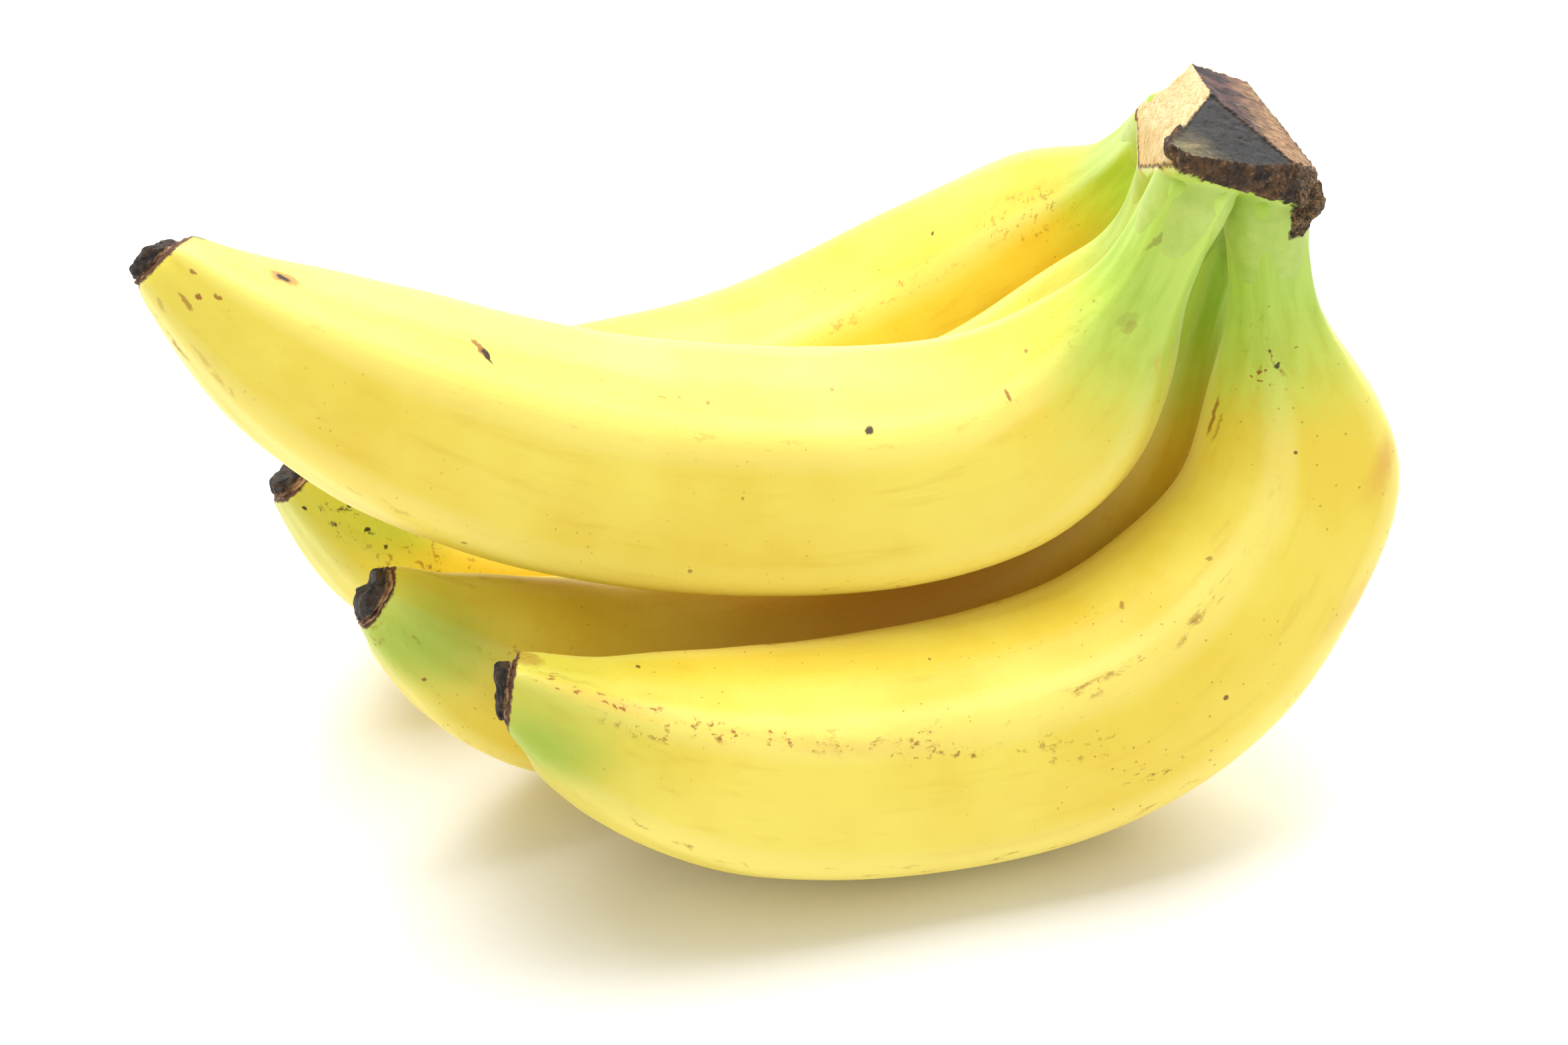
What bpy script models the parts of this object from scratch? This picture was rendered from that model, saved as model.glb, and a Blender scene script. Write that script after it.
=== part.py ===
"""A bunch of five ripe bananas, lying on the curved backs of the four lower ones.

The bananas hang together at the crown, the woody cushion that was cut from
the plant, and each one ends in the dry remains of its flower.
The origin is on the floor under the middle of the bunch: +X points to the
crown, -Y to the front banana and +Z up. Measures are in millimetres and
become metres where the geometry is made.
"""

import math

import bmesh
import bpy
from mathutils import Vector

MM = 0.001
GAP = 0.3  # clearance between pieces that touch

# A banana's half thickness along its length, from the crown to the flower end.
GIRTH = [
    (0.00, 5.8), (0.10, 5.9), (0.15, 7.3), (0.20, 11.7), (0.25, 15.1), (0.31, 17.1), (0.40, 18.3),
    (0.55, 18.6), (0.70, 17.9), (0.80, 16.4), (0.88, 13.4), (0.94, 9.6), (1.00, 5.6),
]
RIDGE = 0.03  # how far the five ridges stand out of a round section, as a share of its radius
SECTION_SIDES = 20
RINGS = 26
SUNK = 1.5  # the peel stops this far before the end of the route, where the flower end starts
FLOWER_LENGTH = 4.5
FLOWER_RADII = (5.2, 4.4)
SOCKET_REACH = 25.0  # each socket is cut this far down its neck, well past the crown

YELLOW = (0.83, 0.60, 0.04)
CORK = (0.035, 0.022, 0.012)
WOOD = (0.10, 0.055, 0.025)

# Each route runs down the middle of a banana, from the crown to the flower end.
BANANAS = {
    "top": {
        "girth": 1.03, "neck": 0.95, "turn": -14,
        "route": [(61, -28, 107), (48, -23, 65), (31, -28, 53), (-13, -32, 54),
                  (-50, -41, 68), (-76, -49, 89), (-88, -47, 102)],
    },
    "front": {
        "girth": 1.05, "neck": 0.98, "turn": 0,
        "route": [(70, -21, 101), (76, -22, 54), (83, -24, 53), (59, -42, 21),
                  (16, -53, 16), (-18, -66, 25), (-40, -71, 44)],
    },
    "middle": {
        "girth": 0.93, "neck": 1.05, "turn": 0,
        "route": [(67, -10, 94), (62, -5, 55), (50, -5, 32), (19, -13, 17),
                  (-17, -26, 14), (-44, -44, 25), (-60, -58, 52)],
    },
    "left": {
        "girth": 0.91, "neck": 1.0, "turn": 0,
        "route": [(60, -1, 95), (57, 24, 48), (32, 27, 22), (-2, 18, 17),
                  (-35, 5, 14), (-59, -10, 19), (-76, -19, 47)],
    },
    "back": {
        "girth": 0.93, "neck": 1.06, "turn": 27,
        "route": [(61, 13, 92), (49, 62, 43), (23, 67, 26), (-1, 57, 16),
                  (-27, 47, 15), (-52, 32, 21), (-77, 13, 35)],
    },
}

# Corners of the crown: the underside around the necks, then the cut faces above.
CROWN_CORNERS = [
    (54, -30, 107), (56, -35, 108), (64, -34, 106), (75, -29, 100), (78, -23, 97),
    (79, -14, 92), (72, 18, 87), (62, 22, 87), (55, 19, 89), (54, 2, 89), (54, -12, 95),
    (55, -32, 112), (58, -36, 113), (67, -33, 109), (74, -27, 106), (78, -20, 101),
    (62, -18, 113), (62, 8, 104), (71, 12, 99), (77, -6, 95),
]


def clear_scene():
    for thing in list(bpy.data.objects):
        bpy.data.objects.remove(thing)


def make_collection(name):
    group = bpy.data.collections.new(name)
    bpy.context.scene.collection.children.link(group)
    return group


def make_material(name, colour, roughness):
    material = bpy.data.materials.new(name)
    material.use_nodes = True
    shader = material.node_tree.nodes["Principled BSDF"]
    shader.inputs["Base Color"].default_value = (*colour, 1.0)
    shader.inputs["Roughness"].default_value = roughness
    shader.inputs["Metallic"].default_value = 0.0
    return material


def girth_at(share):
    """Half thickness of a plain banana at a share of its length."""
    for (s0, r0), (s1, r1) in zip(GIRTH, GIRTH[1:]):
        if share <= s1:
            t = (share - s0) / (s1 - s0)
            return r0 + (r1 - r0) * t
    return GIRTH[-1][1]


def smooth_route(points):
    """Points close together along a smooth curve steered by a few route points."""
    curve = bpy.data.curves.new("route", "CURVE")
    curve.dimensions = "3D"
    spline = curve.splines.new("NURBS")
    spline.points.add(len(points) - 1)
    for knot, point in zip(spline.points, points):
        knot.co = (*point, 1.0)
    spline.order_u = 4
    spline.use_endpoint_u = True
    spline.resolution_u = 24
    holder = bpy.data.objects.new("route", curve)
    line = bpy.data.meshes.new_from_object(holder)
    path = [vertex.co.copy() for vertex in line.vertices]
    bpy.data.objects.remove(holder)
    bpy.data.meshes.remove(line)
    bpy.data.curves.remove(curve)
    return path


def point_along(path, distance):
    """The point at a distance along a path, or straight on past its end."""
    for here, there in zip(path, path[1:]):
        step = (there - here).length
        if distance <= step:
            break
        distance -= step
    else:
        distance += step
    return here + (there - here) * (distance / step)


def path_length(path):
    return sum((b - a).length for a, b in zip(path, path[1:]))


def section_curve():
    """The five-ridged section of a banana, one unit in radius."""
    curve = bpy.data.curves.new("section", "CURVE")
    curve.dimensions = "2D"
    spline = curve.splines.new("POLY")
    spline.points.add(SECTION_SIDES - 1)
    spline.use_cyclic_u = True
    for k, corner in enumerate(spline.points):
        angle = 2 * math.pi * k / SECTION_SIDES
        radius = (1 + RIDGE * math.cos(5 * angle)) * MM
        corner.co = (radius * math.cos(angle), radius * math.sin(angle), 0, 1)
    return curve


def sweep(name, stations, turn, section, group):
    """A closed solid that runs through the stations, each a centre and a radius."""
    curve = bpy.data.curves.new(name, "CURVE")
    curve.dimensions = "3D"
    curve.bevel_mode = "OBJECT"
    curve.bevel_object = section
    curve.use_fill_caps = True
    spline = curve.splines.new("POLY")
    spline.points.add(len(stations) - 1)
    for knot, (centre, radius) in zip(spline.points, stations):
        knot.co = (*(centre * MM), 1.0)
        knot.radius = radius
        knot.tilt = math.radians(turn)
    holder = bpy.data.objects.new(name + "_curve", curve)
    group.objects.link(holder)
    bpy.context.view_layer.update()
    mesh = bpy.data.meshes.new_from_object(
        holder.evaluated_get(bpy.context.evaluated_depsgraph_get())
    )
    bpy.data.objects.remove(holder)
    bpy.data.curves.remove(curve)
    shape = bmesh.new()
    shape.from_mesh(mesh)
    bmesh.ops.remove_doubles(shape, verts=shape.verts, dist=0.00001)
    bmesh.ops.recalc_face_normals(shape, faces=shape.faces)
    shape.to_mesh(mesh)
    shape.free()
    mesh.name = name
    solid = bpy.data.objects.new(name, mesh)
    group.objects.link(solid)
    return solid


def rest_on_floor(solid):
    """Flatten whatever lies lower than the floor, as the weight of the bunch does."""
    shape = bmesh.new()
    shape.from_mesh(solid.data)
    parts = shape.verts[:] + shape.edges[:] + shape.faces[:]
    cut = bmesh.ops.bisect_plane(
        shape, geom=parts, plane_co=(0, 0, 0), plane_no=(0, 0, 1), clear_inner=True
    )
    rim = [edge for edge in cut["geom_cut"] if isinstance(edge, bmesh.types.BMEdge)]
    if rim:
        bmesh.ops.contextual_create(shape, geom=rim)
    bmesh.ops.recalc_face_normals(shape, faces=shape.faces)
    shape.to_mesh(solid.data)
    shape.free()


def shade(solid, material):
    solid.data.materials.clear()
    solid.data.materials.append(material)
    solid.data.shade_smooth()
    solid.data.set_sharp_from_angle(angle=math.radians(35))


def build_banana(name, banana, section, group):
    path = smooth_route(banana["route"])
    length = path_length(path)
    stations = []
    for ring in range(RINGS):
        t = ring / (RINGS - 1)
        share = 0.6 * t + 0.4 * (0.5 - 0.5 * math.cos(math.pi * t))  # closer at both ends
        share *= 1 - SUNK / length
        radius = girth_at(share ** banana["neck"]) * banana["girth"]
        stations.append((point_along(path, share * length), radius))
    solid = sweep(name + "_banana", stations, banana["turn"], section, group)
    rest_on_floor(solid)
    shade(solid, make_material(name + "_peel", YELLOW, 0.42))


def build_flower_end(name, banana, group):
    path = smooth_route(banana["route"])
    start = path_length(path) - SUNK + GAP
    base = point_along(path, start)
    way = (point_along(path, start + 1.0) - base).normalized()
    middle = base + way * FLOWER_LENGTH / 2
    shape = bmesh.new()
    bmesh.ops.create_cone(
        shape, cap_ends=True, segments=14, radius1=FLOWER_RADII[0] * MM,
        radius2=FLOWER_RADII[1] * MM, depth=FLOWER_LENGTH * MM,
    )
    mesh = bpy.data.meshes.new(name + "_flower_end")
    shape.to_mesh(mesh)
    shape.free()
    solid = bpy.data.objects.new(name + "_flower_end", mesh)
    group.objects.link(solid)
    solid.location = middle * MM
    solid.rotation_mode = "QUATERNION"
    solid.rotation_quaternion = Vector((0, 0, 1)).rotation_difference(way)
    bevel = solid.modifiers.new("worn_edge", "BEVEL")
    bevel.width = 1.2 * MM
    bevel.segments = 2
    shade(solid, make_material(name + "_flower_cork", CORK, 0.8))


def build_crown(section, group, cutters):
    shape = bmesh.new()
    corners = [shape.verts.new(Vector(corner) * MM) for corner in CROWN_CORNERS]
    hull = bmesh.ops.convex_hull(shape, input=corners)
    inner = [v for v in hull["geom_interior"] if isinstance(v, bmesh.types.BMVert)]
    bmesh.ops.delete(shape, geom=inner, context="VERTS")
    mesh = bpy.data.meshes.new("crown")
    shape.to_mesh(mesh)
    shape.free()
    crown = bpy.data.objects.new("crown", mesh)
    group.objects.link(crown)
    for name, banana in BANANAS.items():
        path = smooth_route(banana["route"])
        top = path[0]
        way = (point_along(path, 5.0) - top).normalized()
        radius = GIRTH[0][1] * banana["girth"] + GAP
        stations = [(top - way * GAP, radius), (top + way * SOCKET_REACH, radius)]
        socket = sweep(name + "_socket", stations, banana["turn"], section, cutters)
        socket.hide_render = True
        socket.display_type = "WIRE"
        cut = crown.modifiers.new(name + "_socket", "BOOLEAN")
        cut.operation = "DIFFERENCE"
        cut.object = socket
    shade(crown, make_material("crown_wood", WOOD, 0.85))


def build_bunch():
    clear_scene()
    group = make_collection("banana_bunch")
    cutters = make_collection("cutters")
    section = bpy.data.objects.new("section", section_curve())
    cutters.objects.link(section)
    section.hide_render = True
    section.display_type = "WIRE"
    build_crown(section, group, cutters)
    for name, banana in BANANAS.items():
        build_banana(name, banana, section, group)
        build_flower_end(name, banana, group)


build_bunch()
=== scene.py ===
import math

import bpy
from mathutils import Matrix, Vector, noise
from mathutils.bvhtree import BVHTree


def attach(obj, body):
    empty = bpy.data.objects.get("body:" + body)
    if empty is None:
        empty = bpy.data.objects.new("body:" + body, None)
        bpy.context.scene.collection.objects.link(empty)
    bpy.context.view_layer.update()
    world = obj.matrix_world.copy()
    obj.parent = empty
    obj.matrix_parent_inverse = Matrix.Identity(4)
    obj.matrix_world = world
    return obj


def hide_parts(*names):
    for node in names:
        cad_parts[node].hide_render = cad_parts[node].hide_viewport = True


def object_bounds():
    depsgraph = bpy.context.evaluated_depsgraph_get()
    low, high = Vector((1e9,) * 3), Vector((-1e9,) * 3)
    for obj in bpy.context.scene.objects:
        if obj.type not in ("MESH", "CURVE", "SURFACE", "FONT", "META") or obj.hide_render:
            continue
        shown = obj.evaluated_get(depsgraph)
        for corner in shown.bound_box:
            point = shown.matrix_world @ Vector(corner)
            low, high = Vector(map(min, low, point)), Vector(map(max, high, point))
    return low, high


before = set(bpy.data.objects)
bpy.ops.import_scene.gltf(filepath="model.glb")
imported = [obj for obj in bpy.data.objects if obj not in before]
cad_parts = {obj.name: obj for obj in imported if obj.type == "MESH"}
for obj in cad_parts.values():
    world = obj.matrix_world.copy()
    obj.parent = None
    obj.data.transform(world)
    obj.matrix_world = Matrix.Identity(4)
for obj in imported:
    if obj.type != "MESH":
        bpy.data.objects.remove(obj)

cadLow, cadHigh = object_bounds()
middle = (cadLow + cadHigh) / 2
mm = 0.001
print("frame loaded,", len(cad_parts), "nodes")


# small helpers

def deselectAll():
    if bpy.context.mode != "OBJECT":
        bpy.ops.object.mode_set(mode="OBJECT")
    bpy.ops.object.select_all(action="DESELECT")


def activate(thing):
    deselectAll()
    thing.select_set(True)
    bpy.context.view_layer.objects.active = thing


def justAdded(name):
    thing = bpy.context.active_object
    thing.name = thing.data.name = name
    return thing


def useModifier(thing, kind, **settings):
    activate(thing)
    modifier = thing.modifiers.new(kind.lower(), kind)
    for setting, value in settings.items():
        setattr(modifier, setting, value)
    bpy.ops.object.modifier_apply(modifier=modifier.name)


def settle(thing):  # put its place into its mesh
    activate(thing)
    bpy.ops.object.transform_apply(location=True, rotation=True, scale=True)


def smoothShade(thing):
    activate(thing)
    bpy.ops.object.shade_smooth()


def faceOutwards(thing):
    activate(thing)
    bpy.ops.object.mode_set(mode="EDIT")
    bpy.ops.mesh.select_all(action="SELECT")
    bpy.ops.mesh.normals_make_consistent(inside=False)
    bpy.ops.object.mode_set(mode="OBJECT")


def startRod(name, sides, x, radius):  # a disc across X, left selected in edit mode to be extruded
    bpy.ops.mesh.primitive_circle_add(vertices=sides, radius=radius, fill_type="NGON",
                                      location=(x, 0, 0), rotation=(0, math.pi / 2, 0))
    rod = justAdded(name)
    settle(rod)
    bpy.ops.object.mode_set(mode="EDIT")
    bpy.ops.mesh.select_all(action="SELECT")
    return rod


def growRod(further, wider):  # moves the end along X, and scales it about the X axis
    bpy.ops.mesh.extrude_region_move(TRANSFORM_OT_translate={"value": (further, 0, 0)})
    bpy.ops.transform.resize(value=(1, wider, wider), center_override=(0, 0, 0))


def dress(thing, material):
    thing.data.materials.clear()
    thing.data.materials.append(material)


def srgb(red, green, blue):
    def linear(channel):
        share = channel / 255
        return share / 12.92 if share <= 0.04045 else ((share + 0.055) / 1.055) ** 2.4
    return (linear(red), linear(green), linear(blue), 1.0)


# shader maths: a socket that takes Python's own operators, and the material it belongs to

class Value:
    def __init__(self, finish, socket):
        self.finish = finish
        self.socket = socket

    def __add__(self, other):
        return self.finish.math("ADD", self, other)

    def __radd__(self, other):
        return self.finish.math("ADD", other, self)

    def __sub__(self, other):
        return self.finish.math("SUBTRACT", self, other)

    def __rsub__(self, other):
        return self.finish.math("SUBTRACT", other, self)

    def __mul__(self, other):
        return self.finish.math("MULTIPLY", self, other)

    def __rmul__(self, other):
        return self.finish.math("MULTIPLY", other, self)

    def between(self, low, high):  # 0 at low, 1 at high, eased; low may be the larger
        return self.finish.node("ShaderNodeMapRange", {"interpolation_type": "SMOOTHSTEP"},
                                {"Value": self, "From Min": low, "From Max": high})


class Finish:
    def __init__(self, name):
        self.material = bpy.data.materials.new(name)
        self.material.use_nodes = True
        self.tree = self.material.node_tree
        self.shader = self.tree.nodes["Principled BSDF"]

    def node(self, kind, settings=None, sockets=None, output=0):
        made = self.tree.nodes.new(kind)
        for setting, value in (settings or {}).items():
            setattr(made, setting, value)
        for socket, value in (sockets or {}).items():
            if isinstance(value, Value):
                self.tree.links.new(value.socket, made.inputs[socket])
            else:
                made.inputs[socket].default_value = value
        return Value(self, made.outputs[output])

    def math(self, operation, *items):
        return self.node("ShaderNodeMath", {"operation": operation}, dict(enumerate(items)))

    def attribute(self, name):
        return self.node("ShaderNodeAttribute", {"attribute_name": name}, output="Vector")

    def place(self):
        return self.node("ShaderNodeTexCoord", output="Object")

    def parts(self, vector):
        split = self.node("ShaderNodeSeparateXYZ", {}, {0: vector})
        outputs = split.socket.node.outputs
        return [Value(self, outputs[k]) for k in range(3)]

    def stretch(self, vector, factors):
        return self.node("ShaderNodeVectorMath", {"operation": "MULTIPLY"}, {0: vector, 1: factors})

    def shift(self, vector, other, amount):
        moved = self.node("ShaderNodeVectorMath", {"operation": "MULTIPLY_ADD"},
                          {0: other, 1: (amount,) * 3, 2: (-amount / 2,) * 3})
        return self.node("ShaderNodeVectorMath", {"operation": "ADD"}, {0: vector, 1: moved})

    def noise(self, vector, scale, detail=3.0, roughness=0.55, output=0):
        return self.node("ShaderNodeTexNoise", {}, {"Vector": vector, "Scale": scale, "Detail": detail,
                                                    "Roughness": roughness}, output=output)

    def cells(self, vector, scale):  # how far to the nearest of many scattered points
        return self.node("ShaderNodeTexVoronoi", {}, {"Vector": vector, "Scale": scale}, output="Distance")

    def mix(self, factor, under, over):
        return self.node("ShaderNodeMix", {"data_type": "RGBA"}, {0: factor, 6: under, 7: over}, output=2)

    def weaker(self, one, other):
        return self.math("MINIMUM", one, other)

    def patch(self, skin, centre, size, turn):  # an oval place on the skin, in millimetres and degrees
        local = self.node("ShaderNodeMapping", {"vector_type": "TEXTURE"}, {
            "Vector": skin, "Location": (centre[0] * mm, centre[1] * mm, 0),
            "Rotation": (0, 0, math.radians(turn)), "Scale": (size[0] * mm, size[1] * mm, 1)})
        return self.node("ShaderNodeVectorMath", {"operation": "LENGTH"}, {0: local}, output="Value")

    def done(self, colour, roughness, height=None, depth=0.001, **constants):
        links = self.tree.links
        links.new(colour.socket, self.shader.inputs["Base Color"])
        links.new(roughness.socket, self.shader.inputs["Roughness"])
        if height is not None:
            bump = self.node("ShaderNodeBump", {}, {"Height": height, "Distance": depth, "Strength": 1.0})
            links.new(bump.socket, self.shader.inputs["Normal"])
        for socket, value in constants.items():
            self.shader.inputs[socket.replace("_", " ")].default_value = value
        return self.material


# camera, floor and light

studio = {
    "lens": 90, "elevation": 34, "distance": 0.606, "aim": (0, -0.023, -0.0165),
    "floorSize": 9.0, "surround": 0.71,
    "lamps": {
        "overhead": {"place": (-0.12, 0.28, 1.05), "size": 1.0, "power": 14.0},
        "behind": {"place": (0.30, 0.75, 0.62), "size": 0.7, "power": 5.5},
    },
}


def buildStudio():
    tilt = math.radians(studio["elevation"])
    aim = middle + Vector(studio["aim"])
    back = Vector((0, -math.cos(tilt), math.sin(tilt))) * studio["distance"]
    bpy.ops.object.camera_add(location=aim + back, rotation=(math.pi / 2 - tilt, 0, 0))
    camera = justAdded("camera")
    camera.data.lens = studio["lens"]
    camera.data.sensor_width = 36
    camera.data.clip_start = 0.01
    bpy.context.scene.camera = camera

    bpy.ops.mesh.primitive_plane_add(size=studio["floorSize"], location=(0, 0, 0))
    floor = justAdded("floor")
    white = Finish("floor_white")
    grain = white.noise(white.place(), 3.0)
    paper = white.mix(grain, (0.95, 0.95, 0.95, 1), (0.97, 0.97, 0.97, 1))
    floor.data.materials.append(white.done(paper, grain * 0.1 + 0.5, Specular_IOR_Level=0.2))

    world = bpy.data.worlds.new("studio")
    world.use_nodes = True
    world.node_tree.nodes["Background"].inputs["Color"].default_value = (1, 1, 1, 1)
    world.node_tree.nodes["Background"].inputs["Strength"].default_value = studio["surround"]
    bpy.context.scene.world = world
    for name, lamp in studio["lamps"].items():
        place = Vector(lamp["place"])
        bpy.ops.object.light_add(type="AREA", location=place)
        light = justAdded(name)
        light.data.size = lamp["size"]
        light.data.energy = lamp["power"]
        light.rotation_euler = (middle - place).to_track_quat("-Z", "Y").to_euler()
    bpy.context.scene.view_settings.view_transform = "Standard"
    print("studio ready")


buildStudio()

# the bananas: each is modelled straight along X, then bent along its own route

body = {  # half thickness in mm along the length, from the crown to the flower end
    "girth": [(0.00, 5.8), (0.10, 5.9), (0.15, 7.3), (0.20, 11.7), (0.25, 15.1), (0.31, 17.1), (0.40, 18.3),
              (0.55, 18.6), (0.70, 17.9), (0.80, 16.4), (0.88, 13.4), (0.94, 9.6), (1.00, 5.6)],
    "sides": 48, "rings": 30, "fineness": 2,
    "ridge": 0.036, "ridgeAtEnds": 0.05, "ridgeTurn": 34.6, "lumps": 0.008, "slim": 0.99,
    "fifths": 0.28, "dents": 0.003,  # a second, finer wave on the ridges, and small dents in the skin
    "tipSlim": 0.10, "slimFrom": 0.9,  # how much thinner the tip is, and from where
    "hollow": [(0.35, 0.86), (0.0, 0.84), (-1.2, 0.92)],  # the tip: mm further out, share of the width
    "slantOver": 14,  # mm of the tip that the askew cut pulls along
    "easeTo": 0.085, "squeezed": 0.78, "flat": 0.3,  # where skin pressed this hard together is eased
    "easeSpread": 12, "easeFade": 0.07, "easing": 300,
    "sunk": 1.5,  # the peel stops this far before the end of its route
}

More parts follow.
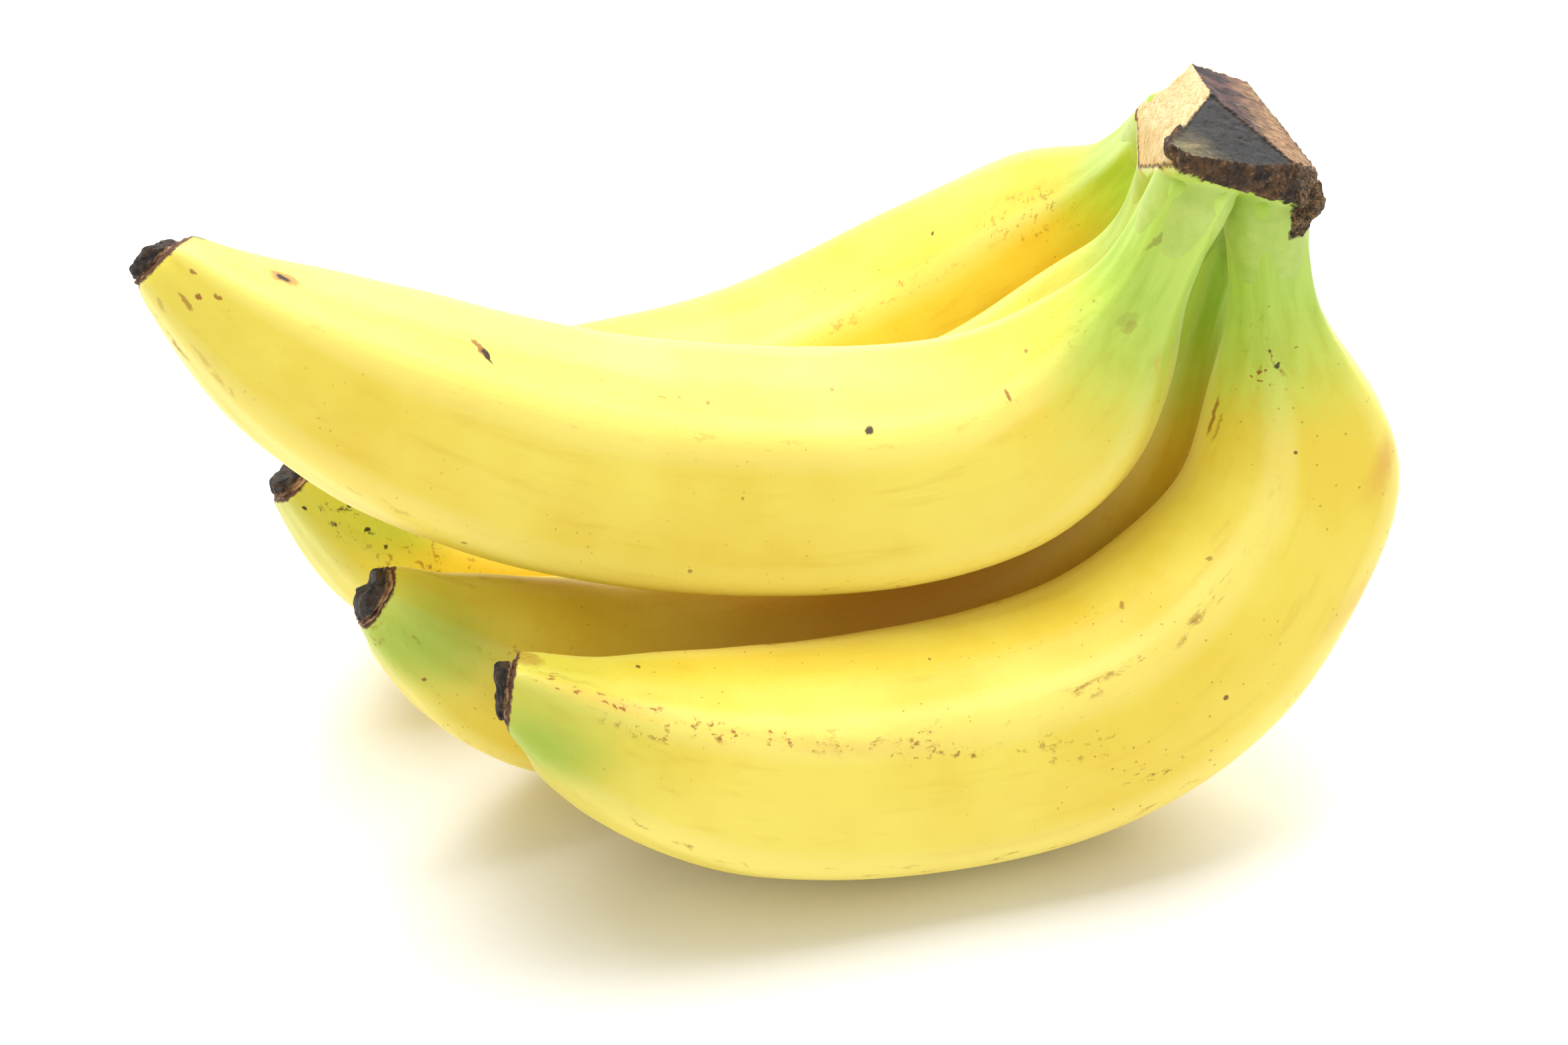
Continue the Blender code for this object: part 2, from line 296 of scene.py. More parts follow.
bananas = {
    "top": {
        "girth": 1.03, "neck": 0.95, "turn": -14, "facing": 0,
        "route": [(61, -28, 107), (48, -23, 65), (31, -28, 53), (-13, -32, 54),
                  (-50, -41, 68), (-76, -49, 89), (-88, -47, 102)],
        "greenNeck": (0.10, 0.27), "greenTip": 0.15, "freckles": 0.6, "scuffs": 0.4,
        "nub": {"size": 0.84, "seed": 3.1, "lean": (-0.6, -0.8), "slant": 0.3, "towards": 0}, "marks": [
            ((180.7, 12.6), (3.2, 1.6), -20, "rust", 0.9, 0.2),
            ((180.9, 12.4), (1.6, 0.6), -20, "black", 0.95, 0),
            ((189.2, -1.2), (1.5, 0.35), 10, "rust", 0.9, 0.3),
            ((188.6, 0.7), (0.6, 0.25), -20, "rust", 0.9, 0),
            ((187.0, 2.6), (0.5, 0.4), 0, "rust", 0.8, 0),
            ((191.0, -4.0), (1.4, 0.5), 30, "rust", 0.8, 0.6),
            ((149.1, 17.6), (3.1, 0.7), 44, "rust", 0.9, 0),
            ((148.2, 16.8), (1.7, 0.5), 50, "black", 0.95, 0),
            ((80.6, 13.6), (1.1, 0.9), 20, "black", 0.95, 0),
            ((50.0, 11.4), (0.7, 1.5), 10, "rust", 0.8, 0),
            ((123, 18.3), (16, 0.9), 4, "rust", 0.55, 1),
            ((150, 18.6), (9, 0.8), 0, "rust", 0.35, 1),
            ((10.2, 1.6), (6.2, 0.75), 26, "olive", 0.85, 0.3),
            ((25.9, 1.3), (2.2, 1.2), 40, "olive", 0.5, 0.5),
            ((30, 8), (5, 3), 0, "rust", 0.35, 1),
            ((27.0, 0.6), (1.6, 0.9), 20, "rust", 0.7, 0.6),
            ((30.8, -6.6), (3.4, 0.45), -30, "blush", 0.6, 0.2),
            ((185.7, -9.6), (1.6, 0.8), 0, "rust", 0.85, 0.6),
            ((191.1, 2.8), (0.5, 0.4), 0, "rust", 0.8, 0),
            ((188.5, -8.0), (3.5, 3.0), 0, "rust", 0.6, 1),
            ((195.8, 12.8), (4.2, 5.6), 0, "slate", 1.0, 0),
        ],
    },
    "front": {
        "girth": 1.05, "neck": 0.98, "turn": 0, "facing": 180,
        "route": [(70, -21, 101), (76, -22, 54), (83, -24, 53), (59, -42, 21),
                  (16, -53, 16), (-18, -66, 25), (-40, -71, 44)],
        "stations": [  # its shoulder is its own
            (0.00, 5.8), (0.06, 5.7), (0.11, 6.0), (0.15, 8.0), (0.19, 12.2), (0.23, 15.2),
            (0.27, 15.3), (0.31, 15.5), (0.36, 16.7), (0.40, 17.9), (0.55, 18.6), (0.70, 17.9),
            (0.80, 16.4), (0.88, 13.4), (0.94, 9.6), (1.00, 5.6),
        ],
        "greenNeck": (0.09, 0.25), "greenTip": 0.5, "freckles": 1.0, "scuffs": 1.0,
        "nub": {"size": 0.84, "seed": 17.4, "lean": (0, 0), "slant": 0.75, "towards": -170}, "marks": [
            ((27.7, -0.5), (0.6, 0.55), 0, "black", 0.9, 0),
            ((25.5, 0.4), (0.4, 0.35), 0, "black", 0.85, 0),
            ((28.6, 2.4), (0.3, 0.55), 0, "rust", 0.95, 0),
            ((28.3, 1.3), (0.3, 0.3), 0, "rust", 0.9, 0),
            ((29.6, 3.9), (0.25, 0.4), 0, "rust", 0.9, 0),
            ((30.0, 2.3), (0.3, 0.35), 20, "rust", 0.9, 0),
            ((26.8, 0.1), (1.2, 0.2), 0, "rust", 0.85, 0.6),
            ((26.0, -3.5), (0.25, 0.5), 0, "rust", 0.8, 0),
            ((27.5, 1.1), (4.5, 5.0), 0, "rust", 0.6, 1),
            ((22.0, 3.0), (3.0, 3.0), 0, "rust", 0.6, 1),
            ((37.9, 12.9), (5.2, 0.7), 28, "rust", 0.85, 0.1),
            ((39.8, 11.7), (4.4, 0.5), 25, "rust", 0.6, 0.3),
            ((191, -9), (13, 9), 0, "leaf", 0.8, 0),
            ((184, 0.7), (14, 2.2), 0, "blush", 0.6, 0.3),
            ((150, -1.5), (26, 2.0), 5, "blush", 0.5, 0.5),
            ((186, 0.9), (12, 1.4), 0, "rust", 0.95, 1),
            ((194.6, 5.0), (3.0, 3.0), 0, "rust", 0.8, 0.4),
            ((189.5, 2.6), (4.5, 0.5), -8, "rust", 0.8, 0.8),
            ((176, -1.5), (12, 2.2), 0, "rust", 0.6, 1),
            ((163, -0.6), (20, 2.0), 3, "rust", 0.9, 1),
            ((135, -3.0), (22, 1.8), 8, "rust", 0.8, 1),
            ((108, -7.5), (14, 3.0), 14, "rust", 0.5, 1),
            ((97.6, -17.0), (5.5, 3.2), 20, "rust", 0.75, 1),
            ((48, -17.5), (7.0, 3.8), 35, "blush", 0.8, 0.2),
            ((62, -22.0), (11, 3.6), 20, "blush", 0.6, 0.4),
            ((70, 4), (1.0, 0.5), 30, "rust", 0.6, 0),
            ((88, 9), (0.8, 0.8), 0, "rust", 0.6, 0),
        ],
    },
    "middle": {
        "girth": 0.93, "neck": 1.05, "turn": 0, "facing": 0,
        "route": [(67, -10, 94), (62, -5, 55), (50, -5, 32), (19, -13, 17),
                  (-17, -26, 14), (-44, -44, 25), (-60, -58, 52)],
        "greenNeck": (0.10, 0.26), "greenTip": 0.4, "freckles": 0.8, "scuffs": 0.4,
        "nub": {"size": 0.88, "seed": 29.8, "lean": (0, -0.4), "slant": 0.6, "towards": -30}, "marks": [
            # painted shade: a broad orange-brown tint over the middle banana where it lies in the shadowed
            # gap between the top and front bananas
            ((95, 2), (66, 50), 0, "painted_gap_shade", 0.8, 0),
            ((194, -9), (17, 13), 0, "leaf", 0.8, 0),
            ((200.2, -2.3), (0.5, 0.5), 0, "black", 0.95, 0),
            ((200.6, -6.5), (0.45, 0.4), 0, "black", 0.95, 0),
            ((188.3, -14), (0.4, 0.5), 0, "rust", 0.9, 0),
            ((196, -9), (5, 4.0), 0, "rust", 0.5, 1),
            ((178, -7), (9, 4.0), 0, "rust", 0.4, 1),
            ((190, 4), (7, 0.5), 0, "rust", 0.5, 0.8),
            ((116.6, 6), (2.0, 0.5), 20, "rust", 0.5, 0.4),
        ],
    },
    "left": {
        "girth": 0.91, "neck": 1.0, "turn": 0, "facing": 0,
        "route": [(60, -1, 95), (57, 24, 48), (32, 27, 22), (-2, 18, 17),
                  (-35, 5, 14), (-59, -10, 19), (-76, -19, 47)],
        "greenNeck": (0.10, 0.28), "greenTip": 0.6, "freckles": 1.0, "scuffs": 0.4,
        "nub": {"size": 0.84, "seed": 41.2, "lean": (0, 0), "slant": 0.4, "towards": -70}, "marks": [
            ((196, -6), (15, 9), 0, "leaf", 0.6, 0),
            ((203, -9), (6, 3.5), 10, "black", 0.9, 1),
            ((208.9, -9.7), (0.6, 0.5), 0, "black", 0.95, 0),
            ((200.2, -8.3), (0.6, 0.4), 30, "black", 0.95, 0),
            ((204.5, -6.0), (0.5, 0.4), 0, "black", 0.9, 0),
            ((196.5, -10.5), (0.5, 0.4), 0, "black", 0.9, 0),
            ((192, -12), (8, 5), 0, "rust", 0.7, 1),
            ((180, -8), (10, 4), 0, "rust", 0.5, 1),
        ],
    },
    "back": {
        "girth": 0.93, "neck": 1.06, "turn": 27, "facing": 0,
        "route": [(61, 13, 92), (49, 62, 43), (23, 67, 26), (-1, 57, 16),
                  (-27, 47, 15), (-52, 32, 21), (-77, 13, 35)],
        "greenNeck": (0.10, 0.27), "greenTip": 0.6, "freckles": 1.3, "scuffs": 0.6,
        "nub": {"size": 0.84, "seed": 55.5, "lean": (0, 0), "slant": 0.3, "towards": -20}, "marks": [
            ((50, -6), (16, 6), 0, "rust", 0.55, 1),
            ((84, -10), (12, 3.0), 0, "rust", 0.45, 1),
            ((110, -12), (9, 2.5), 0, "rust", 0.4, 1),
            ((190, 0), (12, 8), 0, "rust", 0.6, 1),
        ],
    },
}


def girthAt(share, stations):
    for (s0, r0), (s1, r1) in zip(stations, stations[1:]):
        if share <= s1:
            t = (share - s0) / (s1 - s0)
            return r0 + (r1 - r0) * t
    return stations[-1][1]


def makeRoute(name, banana):
    data = bpy.data.curves.new("route_" + name, "CURVE")
    data.dimensions = "3D"
    line = data.splines.new("NURBS")
    line.points.add(len(banana["route"]) - 1)
    for knot, point in zip(line.points, banana["route"]):
        knot.co = (*(Vector(point) * mm), 1.0)
        knot.tilt = math.radians(banana["turn"])
    line.order_u = 4
    line.use_endpoint_u = True
    line.resolution_u = data.resolution_u = 24
    route = bpy.data.objects.new("route_" + name, data)
    bpy.context.scene.collection.objects.link(route)
    bpy.context.view_layer.update()
    banana["length"] = sum(s.calc_length() for s in data.splines)
    return route


def bend(thing, route):
    smoothShade(thing)
    useModifier(thing, "CURVE", object=route, deform_axis="POS_X")


def rememberStraight(thing, facing=0):  # where each vertex lay before the bend, for the patterns on it
    mesh = thing.data
    kept = mesh.attributes.new("straight", "FLOAT_VECTOR", "POINT")
    kept.data.foreach_set("vector", [c for v in mesh.vertices for c in v.co])
    skin = mesh.uv_layers.new(name="skin")
    places = []
    seam = math.radians(facing)
    for v in mesh.vertices:
        x, y, z = v.co
        turn = (math.atan2(z, y) - seam) % (2 * math.pi)  # the seam of the map lies on the far side
        places.append((x, turn - 2 * math.pi if turn > math.pi else turn, math.hypot(y, z)))
    for face in mesh.polygons:
        turns = [places[k][1] for k in face.vertices]
        wraps = max(turns) - min(turns) > math.pi
        for loop, k in zip(face.loop_indices, face.vertices):
            x, turn, radius = places[k]
            if wraps and turn < 0:
                turn += 2 * math.pi
            skin.data[loop].uv = (x, turn * radius)


def slantTip(thing, banana):  # the blossom end is cut off a little askew
    turn = math.radians(banana["nub"]["towards"])
    for v in thing.data.vertices:
        t = min(1.0, max(0.0, (v.co.x - banana["length"]) / (body["slantOver"] * mm) + 1))
        eased = t * t * (3 - 2 * t)
        v.co.x += banana["nub"]["slant"] * (v.co.y * math.cos(turn) + v.co.z * math.sin(turn)) * eased


def ringRadii(banana):
    length = banana["length"] / mm
    rings = []
    for k in range(body["rings"]):
        t = k / (body["rings"] - 1)
        share = 0.6 * t + 0.4 * (0.5 - 0.5 * math.cos(math.pi * t))  # closer at both ends
        share *= 1 - body["sunk"] / length
        stations = banana.get("stations", body["girth"])
        radius = girthAt(share ** banana["neck"], stations) * banana["girth"] * body["slim"]
        radius *= 1 - body["tipSlim"] * max(0.0, share - body["slimFrom"]) / (1 - body["slimFrom"])
        rings.append((share * length * mm, radius * mm))
    return rings


def buildBanana(name, banana, route):
    rings = ringRadii(banana)
    peel = startRod("peel_" + name, body["sides"], 0, rings[0][1])
    for (x0, r0), (x1, r1) in zip(rings, rings[1:]):
        growRod(x1 - x0, r1 / r0)
    for step, share in body["hollow"]:
        growRod(step * mm, share)
    bpy.ops.object.mode_set(mode="OBJECT")
    useModifier(peel, "SUBSURF", levels=body["fineness"], render_levels=body["fineness"])
    shapeRidges(peel, banana)
    rememberStraight(peel, banana["facing"])
    slantTip(peel, banana)
    bend(peel, route)
    easeShoulder(peel)
    for v in peel.data.vertices:  # the weight of the bunch flattens it where it lies
        v.co.z = max(v.co.z, 0.0)
    faceOutwards(peel)
    smoothShade(peel)
    return peel


def easeShoulder(peel):  # opens the fold on the inside of the bend, where the skin is squeezed together
    mesh = peel.data
    straight = [item.vector.copy() for item in mesh.attributes["straight"].data]
    squeeze = [1.0] * len(mesh.vertices)
    pairs = [tuple(edge.vertices) for edge in mesh.edges]
    for a, b in pairs:
        before = (straight[a] - straight[b]).length
        if abs(straight[a].x - straight[b].x) > 0.7 * before > 0:
            ratio = (mesh.vertices[a].co - mesh.vertices[b].co).length / before
            squeeze[a], squeeze[b] = min(squeeze[a], ratio), min(squeeze[b], ratio)
    weights = [max(0.0, min(1.0, (body["squeezed"] - ratio) / body["flat"]))
               if straight[k].x < body["easeTo"] else 0.0 for k, ratio in enumerate(squeeze)]
    for step in range(body["easeSpread"]):
        spread = list(weights)
        for a, b in pairs:
            spread[a] = max(spread[a], weights[b] - body["easeFade"])
            spread[b] = max(spread[b], weights[a] - body["easeFade"])
        weights = spread
    bent = peel.vertex_groups.new(name="shoulder")
    for k, weight in enumerate(weights):
        if weight > 0:
            bent.add([k], weight, "REPLACE")
    useModifier(peel, "SMOOTH", factor=0.5, iterations=body["easing"], vertex_group="shoulder")


def shapeRidges(peel, banana):
    length = banana["length"]
    seed = banana["girth"] * 100 + banana["neck"] * 37
    for v in peel.data.vertices:
        x, y, z = v.co
        share = min(max(x / length, 0.0), 1.0)
        ends = min(1.0, abs(share - 0.55) / 0.45) ** 2
        strength = body["ridge"] + (body["ridgeAtEnds"] - body["ridge"]) * ends
        turn = math.atan2(z, y) - math.radians(body["ridgeTurn"])
        ridge = math.cos(5 * turn) + body["fifths"] * math.cos(10 * turn)
        lump = noise.noise(Vector((x * 26 + seed, y * 34, z * 34)))
        dent = noise.noise(Vector((x * 70, y * 110 + seed, z * 110)))
        grow = 1 + strength * (ridge - 0.25) + body["lumps"] * lump + body["dents"] * dent
        v.co.y *= grow
        v.co.z *= grow


# a mark: its place and half sizes in mm on the skin, its turn in degrees, its colour, its strength,
# and how broken up it is, from 0, solid, to 1, dotted
markColours = {
    "rust": (150, 88, 26), "black": (42, 26, 18), "olive": (138, 132, 52), "slate": (66, 56, 56),
    "blush": (224, 168, 70), "painted_gap_shade": (214, 150, 24), "leaf": (158, 188, 60),
# the colour (214, 150, 24) is painted shade for the middle banana's shadowed gap, not a colour of the peel
}
softTints = ("leaf", "painted_gap_shade", "blush")  # these fade out, the others have an edge


def peelFinish(name, banana):
    finish = Finish("peel_" + name)
    straight = finish.attribute("straight")
    skin = finish.node("ShaderNodeUVMap", {"uv_map": "skin"})
    along, side, rise = finish.parts(straight)
    share = along * (1 / banana["length"])
    spin = finish.math("ARCTAN2", rise, side)
    ridge = finish.math("COSINE", (spin - math.radians(body["ridgeTurn"])) * 5)

    mottle = finish.noise(straight, 32, 4)
    streak = finish.noise(finish.stretch(straight, (0.10, 1, 1)), 330, 4, 0.6)
    fine = finish.noise(straight, 900, 3, 0.6)
    wobble = finish.shift(skin, finish.noise(straight, 420, 3, 0.6, output=1), 0.0022)

    colour = finish.mix(mottle.between(0.35, 0.7), srgb(245, 225, 92), srgb(238, 209, 68))
    colour = finish.mix(streak.between(0.52, 0.75) * 0.35, colour, srgb(222, 184, 50))
    # painted highlight: all five ridges get a paler yellow, standing in for the light their edges catch
    painted_ridge_highlight = ridge.between(0.2, 0.95) * 0.5
    colour = finish.mix(painted_ridge_highlight, colour, srgb(249, 231, 126))

    low, high = banana["greenNeck"]
    neck = (share + (mottle - 0.5) * 0.12 + (streak - 0.5) * 0.05).between(high, low)
    green = finish.mix(streak.between(0.35, 0.7), srgb(190, 218, 90), srgb(168, 201, 66))
    colour = finish.mix(neck, colour, green)
    tip = (share + (mottle - 0.5) * 0.08).between(0.84, 0.99) * banana["greenTip"]
    colour = finish.mix(tip, colour, srgb(170, 184, 66))
    rough = neck * 0.06 + 0.36

    rubbed = finish.noise(finish.stretch(straight, (0.35, 1, 1)), 420, 5, 0.7).between(0.55, 0.68)
    scuff = ridge.between(0.90, 0.995) * rubbed * share.between(0.2, 0.4) * banana["scuffs"]
    colour = finish.mix(scuff * 0.75, colour, srgb(158, 104, 40))

    specks = finish.cells(straight, 480)
    freckles = specks.between(0.12, 0.06) * mottle.between(0.46, 0.62) * 0.6 * banana["freckles"]
    colour = finish.mix(finish.weaker(freckles, 0.85), colour, srgb(136, 92, 36))
    spots = (finish.cells(straight, 95) + (fine - 0.5) * 0.03).between(0.05, 0.03) * banana["freckles"]
    colour = finish.mix(finish.weaker(spots, 0.9), colour, srgb(112, 66, 22))

    broken = finish.noise(finish.stretch(straight, (0.7, 1, 1)), 700, 4, 0.7).between(0.55, 0.66)
    for centre, size, turn, shade, strength, gaps in banana["marks"]:
        edge = 0.05 if shade in softTints else 0.55
        mark = finish.patch(wobble, centre, size, turn).between(1.0, edge) * strength
        mark = mark * (broken * gaps + (1 - gaps)) if gaps else mark
        colour = finish.mix(mark, colour, srgb(*markColours[shade]))
        rough = rough + mark * 0.15

    end = (along + (fine - 0.5) * 0.0012).between(banana["length"] - 1.9 * mm, banana["length"] - 1.5 * mm)
    colour = finish.mix(end, colour, srgb(92, 56, 36))
    rough = rough + fine * 0.1 + scuff * 0.2 + freckles * 0.1 + end * 0.3
    height = fine * 0.2 + streak * 0.4 + mottle * 0.4
    return finish.done(colour, rough, height, 0.0003, Subsurface_Weight=0.06,
                       Subsurface_Radius=(1.0, 0.6, 0.15), Subsurface_Scale=0.004, IOR=1.45)


# the dry flower ends

flower = {
    "sides": 44,
    "rings": [(-0.2, 5.0), (0.3, 5.3), (0.7, 5.2), (0.75, 4.8), (0.55, 4.4), (0.9, 4.5),
              (1.6, 4.5), (2.3, 4.1), (2.9, 3.4), (3.1, 2.3), (2.6, 1.0)],  # mm out, half thickness
    "sunk": 1.2, "stalk": 4.4,  # mm that it reaches into the peel, and its half thickness there
    "lobes": 0.17, "rough": 0.11, "stand": 1.5,
}


def buildFlowerEnd(name, banana, route):
    start = banana["length"] - body["sunk"] * mm
    grow = banana["nub"]["size"]
    where, wide = start - flower["sunk"] * mm, flower["stalk"] * mm
    nub = startRod("flower_" + name, flower["sides"], where, wide)
    for out, radius in flower["rings"]:
        there, width = start + out * mm, radius * grow * mm
        growRod(there - where, width / wide)
        where, wide = there, width
    bpy.ops.object.mode_set(mode="OBJECT")
    useModifier(nub, "SUBSURF", levels=2, render_levels=2)
    seed = banana["nub"]["seed"]
    lean = Vector(banana["nub"]["lean"]) * mm
    for v in nub.data.vertices:
        x, y, z = v.co
        out = max(0.0, (x - start) / mm)
        lobe = noise.noise(Vector((x * 260, y * 300 + seed, z * 300)))
        grain = noise.noise(Vector((x * 1100, y * 1000, z * 1000 + seed)))
        stand = noise.noise(Vector((y * 330 + seed, z * 330, 3.0)))
        share = 1 + flower["lobes"] * lobe * min(1.0, out + 0.3) + flower["rough"] * grain
        v.co.y = y * share + lean.x * min(1.0, out / 2)
        v.co.z = z * share + lean.y * min(1.0, out / 2)
        v.co.x += (flower["stand"] * stand + 0.3 * grain) * mm * min(1.0, out / 1.5)
    rememberStraight(nub)
    slantTip(nub, banana)
    bend(nub, route)
    faceOutwards(nub)
    smoothShade(nub)
    return nub


def flowerFinish(name, banana):
    finish = Finish("cork_" + name)
    straight = finish.attribute("straight")
    along, side, rise = finish.parts(straight)
    out = (along - (banana["length"] - body["sunk"] * mm)) * (1 / mm)
    radius = finish.node("ShaderNodeVectorMath", {"operation": "LENGTH"},
                         {0: finish.stretch(straight, (0, 1 / mm, 1 / mm))}, output="Value")
    grain = finish.noise(straight, 1500, 5, 0.65)
    lumps = finish.noise(straight, 620, 4, 0.65)
    wrinkles = finish.noise(finish.stretch(straight, (1, 0.2, 0.2)), 2200, 3, 0.6)
    colour = finish.mix(lumps.between(0.38, 0.62), srgb(20, 17, 15), srgb(70, 52, 38))
    colour = finish.mix(grain.between(0.55, 0.7) * 0.5, colour, srgb(120, 108, 92))
    lip = (radius + (lumps - 0.5) * 1.5).between(3.2 * banana["nub"]["size"], 4.2 * banana["nub"]["size"])
    tan = finish.mix(wrinkles.between(0.42, 0.6), srgb(96, 60, 36), srgb(190, 148, 104))
    colour = finish.mix(lip * (out + (grain - 0.5) * 1.2).between(1.4, 0.7), colour, tan)
    colour = finish.mix((out + (grain - 0.5)).between(0.35, -0.1) * 0.9, colour, srgb(82, 46, 30))
    rough = grain * 0.3 + 0.55
    return finish.done(colour, rough, grain + lumps * 2, 0.0006)


# the crown: a block cut from the plant, with the necks growing out of its underside

crown = {
    "corners": [
        (54, -30, 107), (56, -35, 108), (64, -34, 106), (75, -29, 100), (78, -23, 97),
        (79, -14, 92), (72, 18, 87), (62, 22, 87), (55, 19, 89), (54, 2, 89), (54, -12, 95),
        (55, -32, 112), (58, -36, 112.2), (67, -33, 109), (74, -27, 106), (78, -20, 101),
        (62, -18, 112.8), (62, 8, 104), (71, 12, 99), (77, -6, 95),
    ],
    "lobe": {"place": (77.2, -24.2, 98.2), "size": (1.5, 1.6, 3.0)},
    "voxel": 0.45,
    "rim": (131.6, -0.452, -0.086),  # its lower edge: height = a + b x + c y, in mm
    "collarSides": 32,
    "collar": [(-2, -0.8), (2, -0.2), (5, 0.35), (9, 0.3), (14, -0.1), (18, -0.5)],  # along the neck, wider
    "tear": (90.3, 0.56),  # where the torn face starts: height = a - b y, level behind
    "outside": 0.6,  # mm beyond the block's faces where the necks begin
    "barkEnds": (-27.5, -22, 62),  # y limits of the bark, left and right of this x
    "block": (74, 93),  # the end block lies beyond this x and above this z
}


def buildCollar(name, banana, route):
    neck = body["girth"][0][1] * banana["girth"] * body["slim"]
    steps = crown["collar"]
    collar = startRod("collar_" + name, crown["collarSides"], steps[0][0] * mm, (neck + steps[0][1]) * mm)
    for (x0, w0), (x1, w1) in zip(steps, steps[1:]):
        growRod((x1 - x0) * mm, (neck + w1) / (neck + w0))
    bpy.ops.object.mode_set(mode="OBJECT")
    bend(collar, route)
    return collar


def buildCrown(collars):
    block = bpy.data.meshes.new("crown_block")
    block.from_pydata([Vector(c) * mm for c in crown["corners"]], [], [])
    piece = bpy.data.objects.new("crown_cushion", block)
    bpy.context.scene.collection.objects.link(piece)
    activate(piece)
    bpy.ops.object.mode_set(mode="EDIT")
    bpy.ops.mesh.select_all(action="SELECT")
    bpy.ops.mesh.convex_hull()
    bpy.ops.object.mode_set(mode="OBJECT")
    hull = [v.co.copy() for v in block.vertices], [tuple(f.vertices) for f in block.polygons]
    facing = [f.normal.copy() for f in block.polygons]
    tree = BVHTree.FromPolygons(*hull)
    bpy.ops.mesh.primitive_uv_sphere_add(radius=1, segments=24, ring_count=16)
    lobe = justAdded("hanging_lobe")
    lobe.scale = Vector(crown["lobe"]["size"]) * mm
    lobe.location = Vector(crown["lobe"]["place"]) * mm
    settle(lobe)
    for part in collars + [lobe]:
        part.select_set(True)
    piece.select_set(True)
    bpy.context.view_layer.objects.active = piece
    bpy.ops.object.join()
    useModifier(piece, "REMESH", mode="VOXEL", voxel_size=crown["voxel"] * mm)
    paintRegions(piece, tree, facing)
    carve(piece)
    smoothShade(piece)
    return piece


def paintRegions(piece, tree, facing):  # which cut face each vertex lies on
    mesh = piece.data
    for name in ("cuts", "growth"):
        mesh.attributes.new(name, "FLOAT_VECTOR", "POINT")
    cuts, growth = mesh.attributes["cuts"].data, mesh.attributes["growth"].data
    rimHeight, rimAcross, rimDeep = crown["rim"]
    tearHeight, tearRise = crown["tear"]
    barkLeft, barkRight, barkTurn = crown["barkEnds"]
    blockFrom, blockAbove = crown["block"]
    for v in mesh.vertices:
        near, _, face, _ = tree.find_nearest(v.co)
        outside = (v.co - near).dot(facing[face]) > crown["outside"] * mm
        wobble = Vector(noise.noise_vector(v.co * 600))
        turn = facing[tree.find_nearest(v.co + wobble * 0.15 * mm)[2]]
        x, y, z = v.co / mm
        rim = z - (rimHeight + rimAcross * x + rimDeep * y) + wobble.x * 0.5
        tear = z - (tearHeight + max(0.0, -y) * tearRise) + wobble.z * 0.6
        front = not outside and turn.z > 0.85 and turn.y < 0.2 and y < 0
        top = not outside and not front and turn.z > 0.45 and turn.x > 0.2
        bark = not front and not top and rim > -0.3 and y < (barkLeft if x < barkTurn else barkRight)
        right = not front and not top and x > blockFrom and z > blockAbove
        torn = not (front or top or bark or right) and tear > 0 and (x < 66 or turn.y > 0.5)
        cuts[v.index].vector = (float(front), float(top), float(torn))
        growth[v.index].vector = (float(not (front or top or bark or right or torn)),
                                  max(-1.0, min(1.0, tear / 3)), float(right))


def carve(piece):
    mesh = piece.data
    cuts, growth = mesh.attributes["cuts"].data, mesh.attributes["growth"].data
    normals = [v.normal.copy() for v in mesh.vertices]
    for v, normal in zip(mesh.vertices, normals):
        front, top, torn = cuts[v.index].vector
        green = growth[v.index].vector.x
        bark = 1 - min(1.0, front + top + torn + green)
        p = v.co / mm
        fibre = noise.noise(Vector((p.x * 1.3, p.y * 1.6, p.z * 0.25)))
        cork = noise.noise(p * 0.8) + 0.6 * noise.noise(p * 1.9) + 0.25 * noise.noise(p * 3.6)
        scrape = noise.noise(Vector((p.x * 0.35, p.y * 1.1, p.z * 1.1)))
        calm = 1 if p.y < -20 else 0.45
        push = torn * (0.4 * fibre - 0.12) + bark * (0.5 * cork + 0.2) * calm
        push += front * (0.2 * scrape - 0.5) + top * (0.25 * scrape - 0.2)
        v.co += normal * push * mm


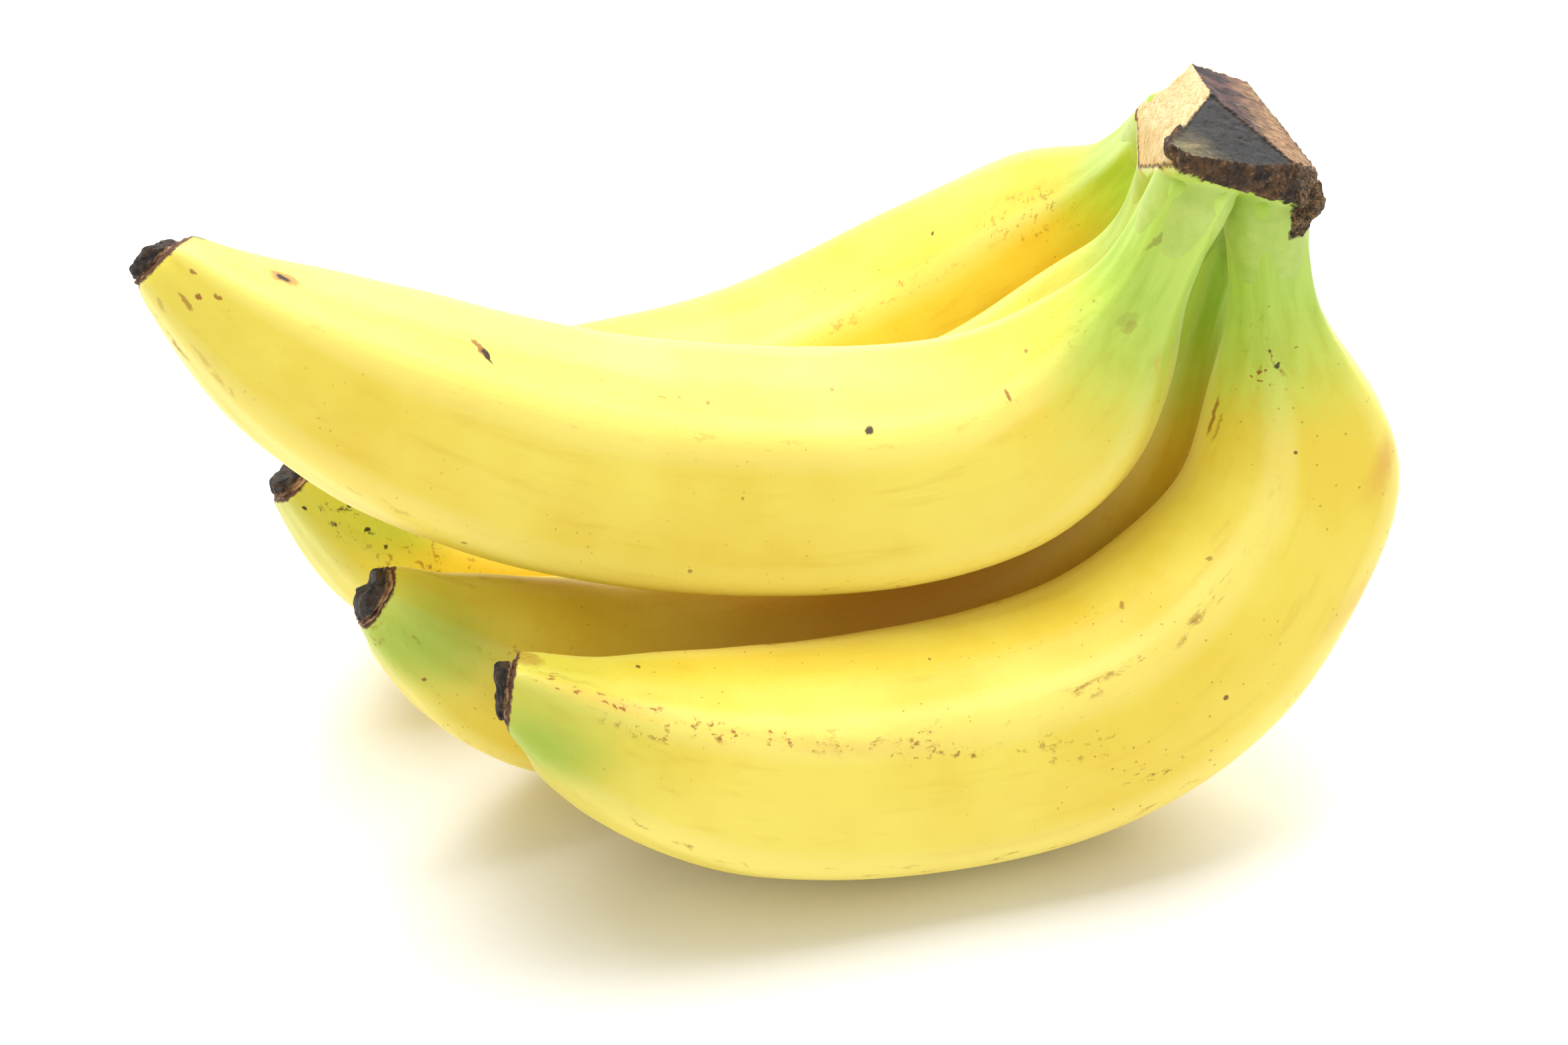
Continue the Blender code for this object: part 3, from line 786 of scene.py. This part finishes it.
def crownFinish():
    finish = Finish("crown_wood")
    place = finish.place()
    across, deep, _ = finish.parts(finish.stretch(place, (1 / mm,) * 3))
    front, top, torn = finish.parts(finish.attribute("cuts"))
    green, tear, right = finish.parts(finish.attribute("growth"))
    grain = finish.noise(place, 1000, 5, 0.7)
    lumps = finish.noise(place, 260, 4, 0.6)
    pores = finish.cells(place, 2600)
    fibres = finish.noise(finish.stretch(place, (1, 1, 0.12)), 1500, 4, 0.65)
    scratches = finish.noise(finish.stretch(place, (0.25, 1, 1)), 1300, 4, 0.65)

    bark = finish.mix(lumps.between(0.4, 0.62), srgb(40, 25, 12), srgb(96, 66, 34))
    bark = finish.mix(grain.between(0.5, 0.66) * 0.85, bark, srgb(26, 16, 8))
    bark = finish.mix(grain.between(0.44, 0.34) * 0.7, bark, srgb(172, 132, 84))
    block = finish.mix(grain.between(0.4, 0.6), srgb(62, 44, 26), srgb(148, 114, 70))
    block = finish.mix(pores.between(0.35, 0.2), block, srgb(38, 26, 16))
    bark = finish.mix(right, bark, block)
    black = finish.mix(scratches.between(0.45, 0.75), srgb(16, 12, 11), srgb(52, 42, 34))
    olive = finish.mix(scratches.between(0.4, 0.7), srgb(94, 84, 50), srgb(142, 128, 84))
    edge = deep + across * 0.9 + (lumps - 0.5) * 8
    black = finish.mix(edge.between(26, 17), black, olive)
    purple = finish.mix(lumps.between(0.4, 0.6), srgb(48, 32, 34), srgb(104, 70, 62))
    tan = finish.mix(scratches.between(0.35, 0.65), srgb(128, 86, 58), srgb(190, 152, 106))
    tan = finish.mix((across + (lumps - 0.5) * 9).between(66.5, 73), purple, tan)
    tan = finish.mix(grain.between(0.6, 0.72) * 0.6, tan, srgb(74, 44, 34))
    cream = finish.mix(fibres.between(0.35, 0.65), srgb(250, 228, 176), srgb(232, 190, 122))
    cream = finish.mix((lumps + (tear - 0.5) * -0.25).between(0.5, 0.75) * 0.6, cream, srgb(238, 190, 98))
    brown = finish.math("ABSOLUTE", tear + (grain - 0.5) * 0.2).between(0.22, 0.08)
    skin = finish.mix(lumps.between(0.3, 0.7), srgb(186, 208, 98), srgb(168, 196, 76))
    skin = finish.mix(tear.between(-0.6, 0.0) * 0.6, skin, srgb(226, 214, 120))
    colour = finish.mix(green, bark, skin)
    colour = finish.mix(torn, colour, cream)
    outline = brown * finish.weaker(torn + green, 1.0) * lumps.between(0.35, 0.55) * 0.8
    colour = finish.mix(outline, colour, srgb(128, 84, 42))
    colour = finish.mix(top, colour, tan)
    colour = finish.mix(front, colour, black)
    rough = grain * 0.2 + 0.62 - green * 0.2 - front * 0.12
    height = grain * (1 - green) + (fibres * torn + scratches * top) * 1.2 + (1 - pores) * right
    return finish.done(colour, rough, height, 0.0006)


collars = []
for name, banana in bananas.items():
    route = makeRoute(name, banana)
    peel = buildBanana(name, banana, route)
    dress(peel, peelFinish(name, banana))
    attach(peel, "root")
    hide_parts(name + "_banana")
    nub = buildFlowerEnd(name, banana, route)
    dress(nub, flowerFinish(name, banana))
    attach(nub, "root")
    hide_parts(name + "_flower_end")
    collars.append(buildCollar(name, banana, route))
    bpy.data.objects.remove(route)
    print("banana", name, "ready,", len(peel.data.polygons), "faces")

cushion = buildCrown(collars)
dress(cushion, crownFinish())
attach(cushion, "root")
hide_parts("crown")
print("crown ready,", len(cushion.data.polygons), "faces")
